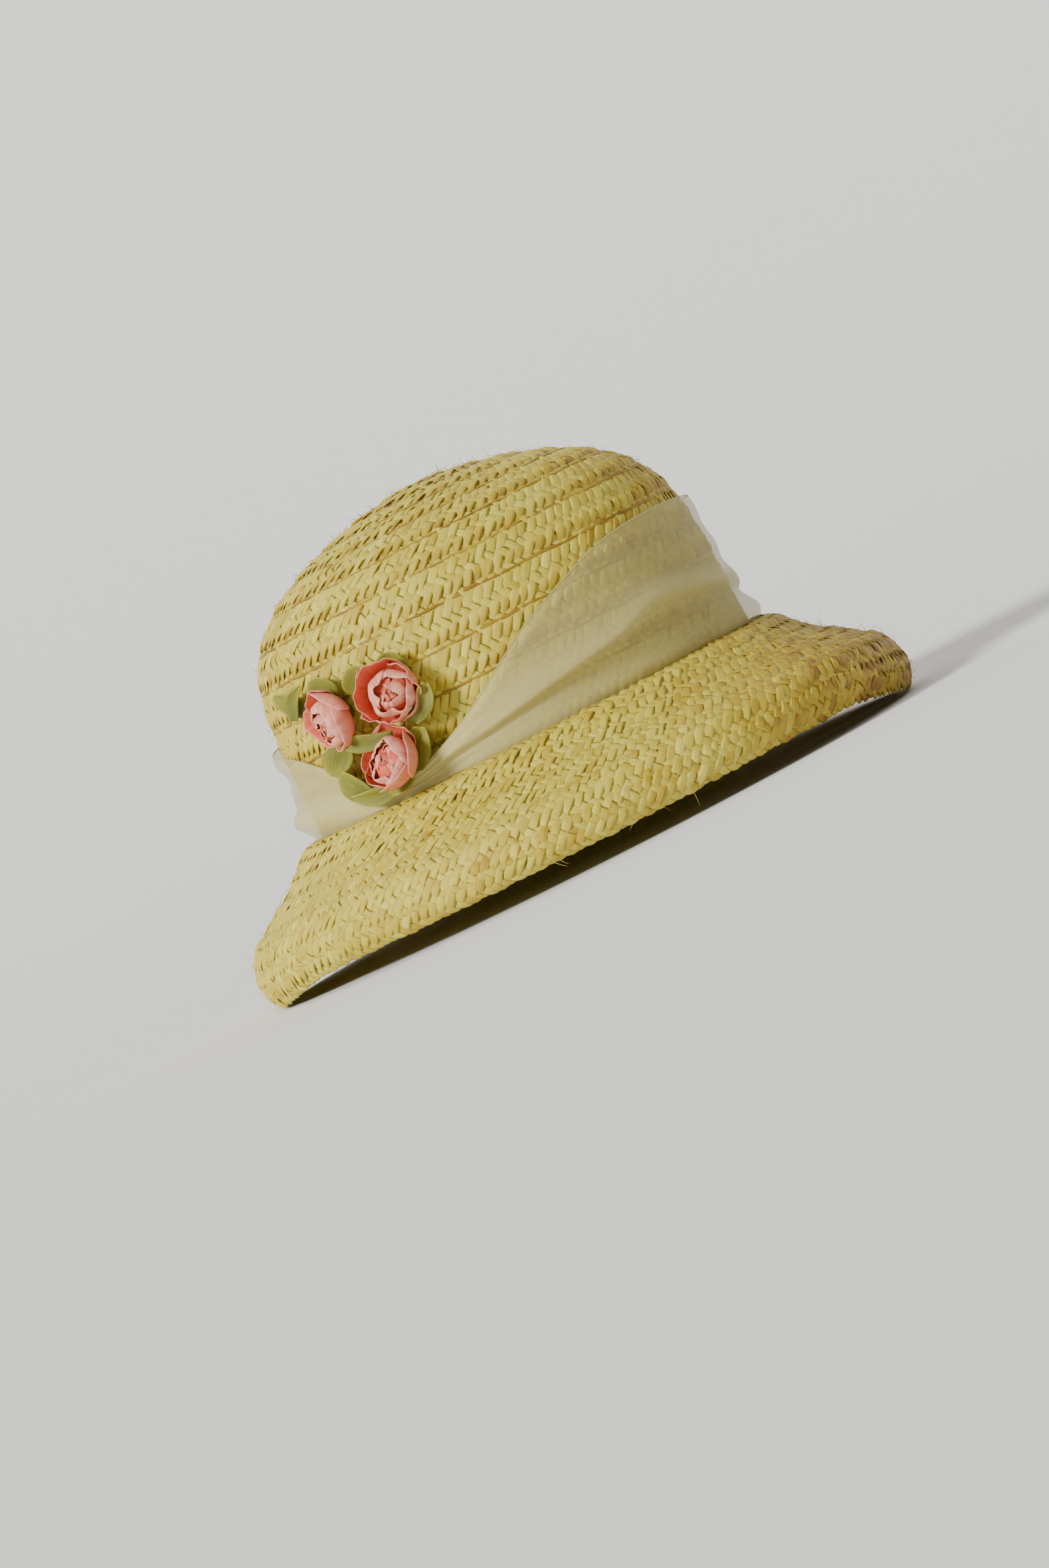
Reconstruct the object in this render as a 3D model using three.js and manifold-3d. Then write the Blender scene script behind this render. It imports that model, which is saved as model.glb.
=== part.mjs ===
// A straw garden hat: a domed crown and a drooping brim of sewn plaited braid, a sheer scarf wound round
// the crown and gathered to a point on the right side, and three cloth roses sewn on above the gather.
// Millimetres. +X is the wearer's front, +Y the wearer's left, +Z up, and the hat stands on z = 0.
import * as THREE from "three";
import { mergeVertices } from "three/addons/utils/BufferGeometryUtils.js";
import Module from "manifold-3d";

const wasm = await Module();
wasm.setup();

// Driving sizes
const GAP = 0.3; // clearance between neighbouring pieces
const STEPS = 50; // sections round the hat
const STRAW = { wall: 2.2, ridge: 0.8 }; // braid wall, and how far a row's free edge stands proud

const CROWN = {
  halfLength: 102, // outside, front to back
  halfWidth: 88, // outside, side to side
  height: 120.3, // base of the wall to the top of the dome
  domePower: 1.45, // squareness of the side outline, across
  wallPower: 5.3, // squareness of the side outline, upwards
  rows: 11,
  inside: 6, // sections of the smooth inner face
  lap: 3, // the crown's base goes this far below the top of the brim
};
const BRIM = {
  slopeDeg: 33, // fall of the flare below the horizontal
  flare: 49.3, // straight length of the flare
  curlRadius: 21, // the edge curls under on this arc
  curlDeg: 95,
  rows: 5,
  shelf: 3.6, // the first row bows up this far before it turns down
  shelfAt: 0.65, // and this share of the way down the row
  sideLift: 8.5, // the edge rises this far over the ears, clear of the floor
  liftFrom: 0.15, // share of the way round to the ear where the rise starts
  liftTo: 0.7, // and where it is full
};
const SCARF = { wall: 1.2, gap: 0.5, foot: 1.2 };

const DEG = Math.PI / 180;
const slope = BRIM.slopeDeg * DEG;
const ROOT_RADIUS = CROWN.halfLength + STRAW.ridge + GAP + STRAW.wall * Math.sin(slope); // the brim's start
const NARROWER = CROWN.halfLength - CROWN.halfWidth; // the brim is this much narrower each side than long

const straw = new THREE.MeshStandardMaterial({ color: 0xd2c07c, roughness: 0.75, metalness: 0 });
const chiffon = new THREE.MeshStandardMaterial({ color: 0xc9c3a0, roughness: 0.6, metalness: 0 });
const petalCloth = new THREE.MeshStandardMaterial({ color: 0xdf9a8a, roughness: 0.7, metalness: 0 });
const leafCloth = new THREE.MeshStandardMaterial({ color: 0x9aa050, roughness: 0.7, metalness: 0 });

// Shared helpers

// Moves every vertex of a geometry to place(x, y, z) and leaves one closed skin of shared vertices.
function warped(geometry, place) {
  const at = geometry.getAttribute("position");
  for (let i = 0; i < at.count; i++) {
    const p = place(at.getX(i), at.getY(i), at.getZ(i));
    at.setXYZ(i, p.x, p.y, p.z);
  }
  geometry.deleteAttribute("normal");
  geometry.deleteAttribute("uv");
  return mergeVertices(geometry, 1e-4);
}

function solidOf(geometry) {
  const vertProperties = new Float32Array(geometry.getAttribute("position").array);
  const triVerts = new Uint32Array(geometry.index.array);
  return new wasm.Manifold(new wasm.Mesh({ numProp: 3, vertProperties, triVerts }));
}

// One body from several closed geometries that run into each other.
function fused(geometries) {
  const joined = geometries.map(solidOf).reduce((sum, next) => sum.add(next));
  const mesh = joined.getMesh();
  return new THREE.BufferGeometry()
    .setAttribute("position", new THREE.BufferAttribute(mesh.vertProperties, 3))
    .setIndex(new THREE.BufferAttribute(mesh.triVerts, 1));
}

// The point at share u along a profile curve, moved by offset to the outer side.
function beside(curve, u, offset) {
  const point = curve.getPointAt(u);
  const along = curve.getTangentAt(u);
  return new THREE.Vector2(point.x - along.y * offset, point.y + along.x * offset);
}

// A value from a table of rows in order of azimuth, on a smooth curve through them all the way round.
function roundTable(rows, column, azimuth) {
  const a = ((azimuth % 360) + 360) % 360;
  const count = rows.length;
  const low = rows.findLastIndex((row) => row.azimuth <= a);
  const row = (k) => rows[(k + count) % count];
  const span = (from, to) => (row(to).azimuth - row(from).azimuth + 360) % 360;
  const steepness = (k) => (row(k + 1)[column] - row(k - 1)[column]) / span(k - 1, k + 1);
  const width = span(low, low + 1);
  const t = (a - row(low).azimuth) / width;
  const start = row(low)[column] * (1 + 2 * t) * (1 - t) ** 2 + steepness(low) * width * t * (1 - t) ** 2;
  const end = row(low + 1)[column] * t ** 2 * (3 - 2 * t) + steepness(low + 1) * width * t ** 2 * (t - 1);
  return start + end;
}

function node(name, geometry, material) {
  const mesh = new THREE.Mesh(geometry, material);
  mesh.name = name;
  return mesh;
}

// Brim: a straight flare, then an arc that curls the edge under
const flareEnd = new THREE.Vector2(Math.cos(slope), -Math.sin(slope)).multiplyScalar(BRIM.flare);
flareEnd.x += ROOT_RADIUS;
const curlCentre = new THREE.Vector2(-Math.sin(slope), -Math.cos(slope))
  .multiplyScalar(BRIM.curlRadius)
  .add(flareEnd);
const curlStart = Math.PI / 2 - slope;
const curlEnd = curlStart - BRIM.curlDeg * DEG;
const brimCurve = new THREE.Path()
  .moveTo(ROOT_RADIUS, 0)
  .lineTo(flareEnd.x, flareEnd.y)
  .absarc(curlCentre.x, curlCentre.y, BRIM.curlRadius, curlStart, curlEnd, true);
const BRIM_DROP = -brimCurve.getPointAt(1).y;
const JUNCTION = BRIM_DROP; // height where the brim leaves the crown

// Each row of braid lies over the lower edge of the row above it, so its upper edge is the proud one.
function brimLoop() {
  const loop = [];
  loop.push(beside(brimCurve, 0, 0));
  loop.push(beside(brimCurve, BRIM.shelfAt / BRIM.rows, BRIM.shelf));
  loop.push(beside(brimCurve, 1 / BRIM.rows, STRAW.ridge / 2));
  for (let row = 1; row < BRIM.rows; row++) {
    loop.push(beside(brimCurve, row / BRIM.rows, STRAW.ridge * (row === 1 ? 1.5 : 1)));
    loop.push(beside(brimCurve, (row + 0.5) / BRIM.rows, STRAW.ridge / 2));
    loop.push(beside(brimCurve, (row + 1) / BRIM.rows, 0));
  }
  const edge = loop.at(-1);
  loop.push(new THREE.Vector2(edge.x - STRAW.wall, edge.y)); // the flat that the hat stands on
  const inside = BRIM.rows + 2;
  for (let step = inside - 1; step >= 0; step--) loop.push(beside(brimCurve, step / inside, -STRAW.wall));
  loop.push(loop[0].clone());
  return loop.reverse();
}

// The edge lies flat at the front and back and rises over the ears.
function brimPlace(radius, drop, azimuth) {
  const sideways = THREE.MathUtils.smoothstep(Math.abs(Math.sin(azimuth)), BRIM.liftFrom, BRIM.liftTo);
  const keep = 1 - (BRIM.sideLift / BRIM_DROP) * sideways;
  return new THREE.Vector3(
    radius * Math.cos(azimuth),
    (radius - NARROWER) * Math.sin(azimuth),
    JUNCTION + drop * (drop < 0 ? keep : 1),
  );
}

function brim() {
  const lathe = new THREE.LatheGeometry(brimLoop(), STEPS);
  const place = (x, y, z) => brimPlace(Math.hypot(x, z), y, Math.atan2(x, z));
  return node("brim", warped(lathe, place), straw);
}

// Crown: a superellipse from the tip of the dome down to the base of the wall
class CrownProfile extends THREE.Curve {
  getPoint(t, target = new THREE.Vector2()) {
    const angle = (Math.PI / 2) * (1 - t) ** (CROWN.wallPower / 2);
    return target.set(
      CROWN.halfLength * Math.cos(angle) ** (2 / CROWN.domePower),
      CROWN.height * Math.sin(angle) ** (2 / CROWN.wallPower),
    );
  }
}
const crownCurve = new CrownProfile();
const CROWN_BASE = JUNCTION - CROWN.lap;

// Share of the full oval that the crown has at a height above its base.
function crownShare(height) {
  const up = Math.min(Math.max(height / CROWN.height, 0), 1);
  return (1 - up ** CROWN.wallPower) ** (1 / CROWN.domePower);
}

// Each row of braid lies over the upper edge of the row below it, so its lower edge is the proud one.
function crownLoop() {
  const loop = [new THREE.Vector2(0, CROWN.height)];
  for (let row = 0; row < CROWN.rows; row++) {
    if (row > 0) loop.push(beside(crownCurve, row / CROWN.rows, 0));
    loop.push(beside(crownCurve, (row + 1) / CROWN.rows, STRAW.ridge));
  }
  for (let step = CROWN.inside; step > 0; step--) {
    loop.push(beside(crownCurve, step / CROWN.inside, -STRAW.wall));
  }
  loop.push(new THREE.Vector2(0, CROWN.height - STRAW.wall));
  return loop.reverse();
}

function crown() {
  const lathe = new THREE.LatheGeometry(crownLoop(), STEPS);
  const squeeze = CROWN.halfWidth / CROWN.halfLength;
  const place = (x, y, z) => new THREE.Vector3(z, x * squeeze, y + CROWN_BASE);
  return node("crown", warped(lathe, place), straw);
}

// Scarf: its upper edge, and the puff of its folds, at places round the crown
const SCARF_EDGE = [
  { azimuth: 0, top: 59, puff: 0.75 },
  { azimuth: 45, top: 58, puff: 0.75 },
  { azimuth: 90, top: 53, puff: 0.8 },
  { azimuth: 140, top: 46, puff: 0.9 },
  { azimuth: 180, top: 40, puff: 1 },
  { azimuth: 203, top: 35, puff: 0.9 },
  { azimuth: 217, top: 24, puff: 0.55 },
  { azimuth: 226, top: 13, puff: 0.3 },
  { azimuth: 235, top: 8, puff: 0.2 },
  { azimuth: 244, top: 9, puff: 0.2 },
  { azimuth: 258, top: 20, puff: 0.35 },
  { azimuth: 280, top: 43, puff: 0.55 },
  { azimuth: 309, top: 59, puff: 0.7 },
];
// Folds that run round the scarf: place up its height, how far each stands off the crown, and its width
const SCARF_FOLDS = [
  { height: 0.1, stand: 7, width: 0.2 },
  { height: 0.46, stand: 3.4, width: 0.14 },
  { height: 0.9, stand: 3, width: 0.13 },
];
const SCARF_LEVELS = 9;

function scarfStand(share, puff) {
  const rise = SCARF_FOLDS.map((fold) => fold.stand * Math.exp(-(((share - fold.height) / fold.width) ** 2)));
  return puff * Math.max(...rise);
}

// A point of the scarf: azimuth in radians, share up its height, and depth into its wall.
function scarfPlace(azimuth, share, depth) {
  const degrees = azimuth / DEG;
  const top = roundTable(SCARF_EDGE, "top", degrees);
  const height = SCARF.foot + (top - SCARF.foot) * share;
  const puff = roundTable(SCARF_EDGE, "puff", degrees);
  const off = STRAW.ridge + SCARF.gap + SCARF.wall - depth + scarfStand(share, puff);
  const oval = crownShare(height + CROWN.lap);
  return new THREE.Vector3(
    (CROWN.halfLength * oval + off) * Math.cos(azimuth),
    (CROWN.halfWidth * oval + off) * Math.sin(azimuth),
    JUNCTION + height,
  );
}

// Lathe radius 2 is the scarf's outer face and radius 1 its inner face, and the lathe's height is the share up.
function band() {
  const up = Array.from({ length: SCARF_LEVELS + 1 }, (_, i) => i / SCARF_LEVELS);
  const outer = up.map((share) => new THREE.Vector2(2, share));
  const inner = up.toReversed().map((share) => new THREE.Vector2(1, share));
  const lathe = new THREE.LatheGeometry([...outer, ...inner, outer[0]], STEPS);
  const place = (x, y, z) => {
    const depth = Math.hypot(x, z) > 1.5 ? 0 : SCARF.wall;
    return scarfPlace(Math.atan2(x, z), y, depth);
  };
  return node("band", warped(lathe, place), chiffon);
}

// Roses: where each is sewn on, how it leans, its size, and the angle and reach of its sepals.
// forward and up are measured on the right side of the crown, from its middle and from the brim, and sink
// is how far the foot of the stem goes in below the proud edges of the straw rows.
const ROSES = [
  {
    name: "front", forward: -41.5, up: 40, radius: 14.5, stem: 2.5, sink: 0.35,
    leanForward: 4, leanUp: 4, turn: 20,
    sepals: [
      { angle: 88, reach: 17 }, { angle: 140, reach: 16 }, { angle: 215, reach: 13 },
      { angle: 275, reach: 13.5 }, { angle: -22, reach: 16.5 },
    ],
  },
  {
    name: "back", forward: -63.5, up: 41, radius: 13, stem: 3.5, sink: 0.3,
    leanForward: -20, leanUp: -4, turn: 55,
    sepals: [
      { angle: 70, reach: 15 }, { angle: 105, reach: 15 }, { angle: 200, reach: 14 },
      { angle: 262, reach: 13 }, { angle: 330, reach: 12 },
    ],
  },
  {
    name: "low", forward: -51, up: 14.5, radius: 14, stem: 6, sink: 0,
    leanForward: -4, leanUp: 22, turn: 0,
    sepals: [
      { angle: 18, reach: 16.5 }, { angle: 88, reach: 12 }, { angle: 158, reach: 16.5 },
      { angle: 228, reach: 16 }, { angle: 300, reach: 16 },
    ],
  },
];
// Rings of petals, from the outside in: how many, and their size as shares of the rose's radius
const PETAL_RINGS = [
  { count: 5, radius: 1, tip: 0.92, turn: 0 },
  { count: 3, radius: 0.66, tip: 1.0, turn: 30 },
];
const PETAL = { wall: 1.2, overlap: 1.2, across: 3, upwards: 3, notch: 0.14, tuck: 0.08 };
const BUD = { radius: 0.3, middle: 0.48, tall: 0.44 }; // shares of the rose's radius
const BOWL = { foot: 0.3, flare: 0.62 }; // the petals' bowl: foot radius and how fast it opens
const STEM_TAPER = 0.8;
const SEPAL = { wall: 1, width: 10, base: 0.25, across: 1, along: 3, hug: 0.5, highest: 0.42 };
const LEAF = { forward: -77, up: 55, angle: 128, length: 17, width: 10, bow: 0.6, stand: 0.9 };

// Radius of a petal ring's bowl at a share of its height.
function bowl(share) {
  return BOWL.foot + (1 - BOWL.foot) * share ** BOWL.flare;
}

// A thin grid box: u across and v along, each 0 to 1, and w through the wall.
function patch(across, along, place) {
  const box = new THREE.BoxGeometry(1, 1, 1, across, along, 1);
  return warped(box, (x, y, z) => place(x + 0.5, y + 0.5, z + 0.5));
}

function petal(rose, ring, index) {
  const span = ((2 * Math.PI) / ring.count) * PETAL.overlap;
  const middle = (index / ring.count) * 2 * Math.PI + (ring.turn + rose.turn) * DEG;
  const outer = rose.radius * ring.radius;
  const tall = rose.radius * ring.tip;
  return patch(PETAL.across, PETAL.upwards, (u, v, w) => {
    const sideways = 2 * u - 1;
    const spiral = 1 - PETAL.tuck * u; // one edge tucks inside the next petal
    const rounded = 1 - PETAL.notch * sideways ** 2 * v;
    const radius = outer * bowl(v) * spiral - (1 - w) * PETAL.wall;
    const angle = middle + (sideways * span) / 2;
    return new THREE.Vector3(radius * Math.cos(angle), radius * Math.sin(angle), tall * v * rounded);
  });
}

function rosePetals(rose) {
  const petals = PETAL_RINGS.flatMap((ring) =>
    Array.from({ length: ring.count }, (_, index) => petal(rose, ring, index)),
  );
  const bud = warped(new THREE.SphereGeometry(1, 8, 6), (x, y, z) =>
    new THREE.Vector3(x * BUD.radius, y * BUD.radius, BUD.middle + z * BUD.tall).multiplyScalar(rose.radius),
  );
  return fused([...petals, bud]);
}

// Half the width of a leaf at a share of its length: widest near the middle, with a base and a small tip.
function leafHalf({ width, base }, share) {
  return (width / 2) * (base + (1 - base) * Math.sin(Math.PI * (0.18 + 0.8 * share)));
}

// A sepal leaves the receptacle, follows the outside of the bowl and turns out to a point.
function sepal(rose, { angle, reach }) {
  const turn = angle * DEG;
  const inner = rose.radius * BOWL.foot * 0.5;
  return patch(SEPAL.across, SEPAL.along, (u, v, w) => {
    const radius = inner + (reach - inner) * v;
    const open = Math.max(0, (radius / rose.radius - BOWL.foot) / (1 - BOWL.foot));
    const cup = rose.radius * open ** (1 / BOWL.flare);
    const level = Math.min(cup * SEPAL.hug, rose.radius * SEPAL.highest) - 2 * GAP - SEPAL.wall * (1 - w);
    const side = (1 - 2 * u) * leafHalf(SEPAL, v);
    return new THREE.Vector3(
      radius * Math.cos(turn) - side * Math.sin(turn),
      radius * Math.sin(turn) + side * Math.cos(turn),
      level,
    );
  });
}

function leanOf(rose) {
  return new THREE.Euler(-rose.leanUp * DEG, rose.leanForward * DEG, 0);
}

// The receptacle leans with the rose, and its base is cut flush with the straw that it is sewn to.
function roseCalyx(rose) {
  const foot = rose.radius * BOWL.foot;
  const out = new THREE.Vector3(0, 0, 1);
  out.applyQuaternion(new THREE.Quaternion().setFromEuler(leanOf(rose)).invert());
  const base = (x, y) => -(rose.stem + rose.sink + out.x * x + out.y * y) / out.z;
  const stem = new THREE.CylinderGeometry(foot, foot * STEM_TAPER, 1, 8);
  const receptacle = warped(stem, (x, y, z) => new THREE.Vector3(x, -z, y > 0 ? -2 * GAP : base(x, -z)));
  return fused([receptacle, ...rose.sepals.map((row) => sepal(rose, row))]);
}

// A frame on the right side of the crown: its Z leaves the straw, its X runs forward and its Y up.
function onCrown(forward, up, stand) {
  const oval = crownShare(up + CROWN.lap);
  const length = CROWN.halfLength * oval;
  const width = CROWN.halfWidth * oval;
  const sideways = -width * Math.sqrt(1 - (forward / length) ** 2);
  const out = new THREE.Vector3(forward / length ** 2, sideways / width ** 2, 0).normalize();
  const ahead = new THREE.Vector3(-out.y, out.x, 0);
  const frame = new THREE.Group();
  frame.setRotationFromMatrix(new THREE.Matrix4().makeBasis(ahead, new THREE.Vector3(0, 0, 1), out));
  frame.position.set(forward, sideways, JUNCTION + up).addScaledVector(out, STRAW.ridge + GAP + stand);
  return frame;
}

function rose(row) {
  const seat = onCrown(row.forward, row.up, row.stem);
  const lean = new THREE.Group();
  lean.rotation.copy(leanOf(row));
  lean.add(node("rose_" + row.name, rosePetals(row), petalCloth));
  lean.add(node("calyx_" + row.name, roseCalyx(row), leafCloth));
  return seat.add(lean);
}

function backLeaf() {
  const seat = onCrown(LEAF.forward, LEAF.up, LEAF.stand);
  const turn = LEAF.angle * DEG;
  const shape = patch(SEPAL.across, SEPAL.along, (u, v, w) => {
    const side = (1 - 2 * u) * leafHalf({ width: LEAF.width, base: SEPAL.base }, v);
    const level = SEPAL.wall * w + LEAF.bow * (1 - 4 * (v - 0.5) ** 2);
    const along = LEAF.length * (v - 0.5);
    return new THREE.Vector3(
      along * Math.cos(turn) - side * Math.sin(turn),
      along * Math.sin(turn) + side * Math.cos(turn),
      level,
    );
  });
  return seat.add(node("leaf_back", shape, leafCloth));
}

const hat = new THREE.Group();
hat.add(crown(), brim(), band(), ...ROSES.map(rose), backLeaf());

export default hat;
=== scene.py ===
# %% [markdown]
# A straw garden hat, dressed over its CAD frame. The real one is sewn from rows of plaited straw, with a
# sheer scarf round the crown and three cloth roses at one side. The frame has each piece as a plain closed
# solid, and this lesson lays the real surface over each one. Sizes are in millimetres unless a comment says
# metres, and become metres when a mesh is made. +X is the wearer's front, +Y the wearer's left and +Z up.

# %% Load the frame
import math

import bpy
import numpy as np
from mathutils import Matrix, Vector


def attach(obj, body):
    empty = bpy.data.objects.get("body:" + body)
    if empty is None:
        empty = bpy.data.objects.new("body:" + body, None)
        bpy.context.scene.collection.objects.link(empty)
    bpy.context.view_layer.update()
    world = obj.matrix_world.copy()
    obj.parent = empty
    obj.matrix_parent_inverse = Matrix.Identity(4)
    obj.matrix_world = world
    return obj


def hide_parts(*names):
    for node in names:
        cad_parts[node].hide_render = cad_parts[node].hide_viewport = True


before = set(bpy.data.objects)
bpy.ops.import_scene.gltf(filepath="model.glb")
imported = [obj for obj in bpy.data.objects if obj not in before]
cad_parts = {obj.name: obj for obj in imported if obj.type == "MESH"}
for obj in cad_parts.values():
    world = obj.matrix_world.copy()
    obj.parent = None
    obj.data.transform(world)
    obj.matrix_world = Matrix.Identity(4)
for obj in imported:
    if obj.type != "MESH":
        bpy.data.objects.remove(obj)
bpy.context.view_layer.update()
rng = np.random.default_rng(11)
print("frame nodes:", sorted(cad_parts))

# %% [markdown]
# The photograph looks at the hat from far off, nearly level with the brim and square to the wearer's right
# side, and there the hat is tipped, front up. Here it stands level, so the camera is rolled by that angle
# instead. Euler angles would do, but three vectors for right, up and ahead are easier to check. The lens
# follows from the photograph's scale.

# %% Camera
PHOTO = {"height": 2343, "px_per_mm": 3.5}
TARGET = Vector((-0.0149, 0, 0.0383))  # metres
TIP = math.radians(27)
RISE = math.radians(1.8)
AWAY = 1.9  # metres
SENSOR = 36

ahead = Vector((0, math.cos(RISE), -math.sin(RISE)))
level_up = Vector((0, math.sin(RISE), math.cos(RISE)))
level_right = Vector((1, 0, 0))
right = level_right * math.cos(TIP) - level_up * math.sin(TIP)
up = level_right * math.sin(TIP) + level_up * math.cos(TIP)

lens = bpy.data.cameras.new("photo_camera")
lens.sensor_fit = "VERTICAL"
lens.sensor_height = SENSOR
lens.lens = SENSOR * AWAY * 1000 * PHOTO["px_per_mm"] / PHOTO["height"]
camera = bpy.data.objects.new("photo_camera", lens)
camera.location = TARGET - ahead * AWAY
camera.rotation_euler = Matrix((right, up, -ahead)).transposed().to_euler()
bpy.context.scene.collection.objects.link(camera)
bpy.context.scene.camera = camera
print("lens", round(lens.lens, 1), "mm at", AWAY, "m")

# %% [markdown]
# A material is a small tree of nodes, and two helpers make every tree here. One turns an sRGB hex colour,
# as a paint program shows it, into the linear values that Blender works with. The other adds a node with
# its settings, links and colour stops, so that a material reads from top to bottom like a recipe.

# %% Colours and nodes
def linear(hex_colour):
    parts = [int(hex_colour[i : i + 2], 16) / 255 for i in (1, 3, 5)]
    return [p / 12.92 if p <= 0.04045 else ((p + 0.055) / 1.055) ** 2.4 for p in parts] + [1]


def add(tree, kind, inputs=None, stops=(), **settings):
    made = tree.nodes.new(kind)
    for name, value in settings.items():
        setattr(made, name, value)
    for name, value in (inputs or {}).items():
        if isinstance(value, bpy.types.NodeSocket):
            tree.links.new(value, made.inputs[name])
        else:
            made.inputs[name].default_value = value
    for _ in stops[2:]:
        made.color_ramp.elements.new(0.5)
    for number, (place, colour) in enumerate(stops):
        made.color_ramp.elements[number].position = place
        made.color_ramp.elements[number].color = linear(colour)
    return made


def new_material(name):
    material = bpy.data.materials.new(name)
    material.use_nodes = True
    material.node_tree.nodes.clear()
    return material, material.node_tree


def repeats(long_mm, wide_mm):
    """Repeats to the millimetre of a pattern that long and wide, to scale its noise by."""
    return (1 / long_mm, 1 / wide_mm, 1)


print("middle grey is", round(linear("#808080")[0], 3), "in linear values")

# %% [markdown]
# A hat has thousands of straws, so each piece is worked out as arrays of points and faces that become a
# mesh in one go. Curves with a bevel would make strands too, but in an array every point has its own width,
# twist and tint. Values that a material needs ride on the points as attributes.

# %% Mesh pieces
def piece(name, points, faces, material, slot, replaced, **values):
    mesh = bpy.data.meshes.new(name)
    mesh.from_pydata((np.asarray(points) * 0.001).tolist(), [], np.asarray(faces).tolist())
    for key, data in values.items():
        data = np.asarray(data, np.float32)
        kind = "FLOAT_VECTOR" if data.ndim == 2 else "FLOAT"
        layer = mesh.attributes.new(key, kind, "POINT")
        layer.data.foreach_set("vector" if data.ndim == 2 else "value", data.ravel())
    mesh.shade_smooth()
    mesh.materials.append(material)
    made = bpy.data.objects.new(name, mesh)
    bpy.context.scene.collection.objects.link(made)
    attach(made, "root")
    if replaced:
        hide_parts(replaced)
    print(name, len(mesh.vertices), "points,", sum(len(p.vertices) - 2 for p in mesh.polygons), "triangles")
    return made


def grid_faces(rows, columns, rows_close, columns_close):
    """Four-sided faces of a grid of points. Its rows and its columns may each close on themselves."""
    i = np.arange(rows if rows_close else rows - 1)[:, None]
    k = np.arange(columns if columns_close else columns - 1)[None, :]
    j, m = (i + 1) % rows, (k + 1) % columns
    corners = [(i, k), (j, k), (j, m), (i, m)]
    return np.stack([a * columns + b for a, b in corners], -1).reshape(-1, 4)


def joined(parts):
    """One list of points, of faces and of each value from several parts."""
    counts = np.cumsum([0] + [len(part[0]) for part in parts])
    faces = np.concatenate([part[1] + first for part, first in zip(parts, counts)])
    return np.concatenate([p[0] for p in parts]), faces, *[np.concatenate(c) for c in list(zip(*parts))[2:]]


print("a ring of 4 by 3 points has", len(grid_faces(4, 3, True, True)), "faces")

# %% [markdown]
# A sewn straw hat is pressed over two wooden blocks, one for the crown and one for the brim. Each is a side
# outline swept round an oval. The crown's outline is a superellipse, because that turns smoothly from an
# upright wall to a flat top, and the brim's is a straight flare that curls under on an arc. Both are
# measured along their length from the top, because rows of plait lie side by side along it.

# %% Straw outlines
CROWN = {
    "half_length": 102, "half_width": 88, "height": 120.3, "dome_power": 1.45, "wall_power": 5.3, "lap": 3,
}
BRIM = {"root": 104.3, "flare": 49.3, "slope": math.radians(33), "curl_radius": 21, "curl": math.radians(95)}
FINE = 2000


def outline(radius, height):
    along = np.concatenate([[0], np.cumsum(np.hypot(np.diff(radius), np.diff(height)))])
    return {"along": along, "radius": radius, "height": height, "length": along[-1]}


def brim_outline():
    run = np.linspace(0, BRIM["flare"], FINE // 2)
    slope = BRIM["slope"]
    angle = slope + np.linspace(0, BRIM["curl"], FINE // 2)[1:]
    end_r = BRIM["root"] + BRIM["flare"] * math.cos(slope)
    end_z = -BRIM["flare"] * math.sin(slope)
    turn_r = end_r + BRIM["curl_radius"] * (np.sin(angle) - math.sin(slope))
    turn_z = end_z + BRIM["curl_radius"] * (np.cos(angle) - math.cos(slope))
    radius = np.concatenate([BRIM["root"] + run * math.cos(slope), turn_r])
    return outline(radius, np.concatenate([-run * math.sin(slope), turn_z]))


def crown_outline(foot):
    angle = np.pi / 2 * (1 - np.linspace(0, 1, FINE)) ** (CROWN["wall_power"] / 2)
    radius = CROWN["half_length"] * np.cos(angle) ** (2 / CROWN["dome_power"])
    height = CROWN["height"] * np.sin(angle) ** (2 / CROWN["wall_power"])
    return outline(np.abs(radius), height + foot)


brim_side = brim_outline()
JUNCTION = -brim_side["height"][-1]
crown_side = crown_outline(JUNCTION - CROWN["lap"])
print("crown outline", round(crown_side["length"], 1), "mm, brim", round(brim_side["length"], 1), "mm")
print("the brim leaves the crown", round(JUNCTION, 1), "mm above the floor")

# %% [markdown]
# A place on the straw is given by how far it lies along the outline, how far off it, and at which azimuth.
# Two functions turn such places into points and outward directions. The brim is as much narrower than long
# as the crown is, and over the ears it rises, so that the hat rests on its front and back.

# %% Points on the straw
BRIM_LIFT = {"rise": 8.5, "start": 0.15, "full": 0.7}
NARROWER = CROWN["half_length"] - CROWN["half_width"]
NEAREST_TOP = 0.2
SLOPE_STEP = 0.5
RING_POINTS = 721


def unit(vectors):
    return vectors / np.linalg.norm(vectors, axis=-1, keepdims=True)


def smoothstep(x, low, high):
    share = np.clip((x - low) / (high - low), 0, 1)
    return share * share * (3 - 2 * share)


def side_point(side, along, off):
    """Radius, height and outward direction of a point that far along an outline and off it."""
    at = np.clip(along, NEAREST_TOP, side["length"])
    over = along - at
    before = np.clip(at - SLOPE_STEP, 0, None)
    after = np.clip(at + SLOPE_STEP, None, side["length"])
    dr = np.interp(after, side["along"], side["radius"]) - np.interp(before, side["along"], side["radius"])
    dz = np.interp(after, side["along"], side["height"]) - np.interp(before, side["along"], side["height"])
    size = np.hypot(dr, dz)
    tr, tz = dr / size, dz / size
    radius = np.interp(at, side["along"], side["radius"]) + over * tr - off * tz
    height = np.interp(at, side["along"], side["height"]) + over * tz + off * tr
    return radius, height, -tz, tr


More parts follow.
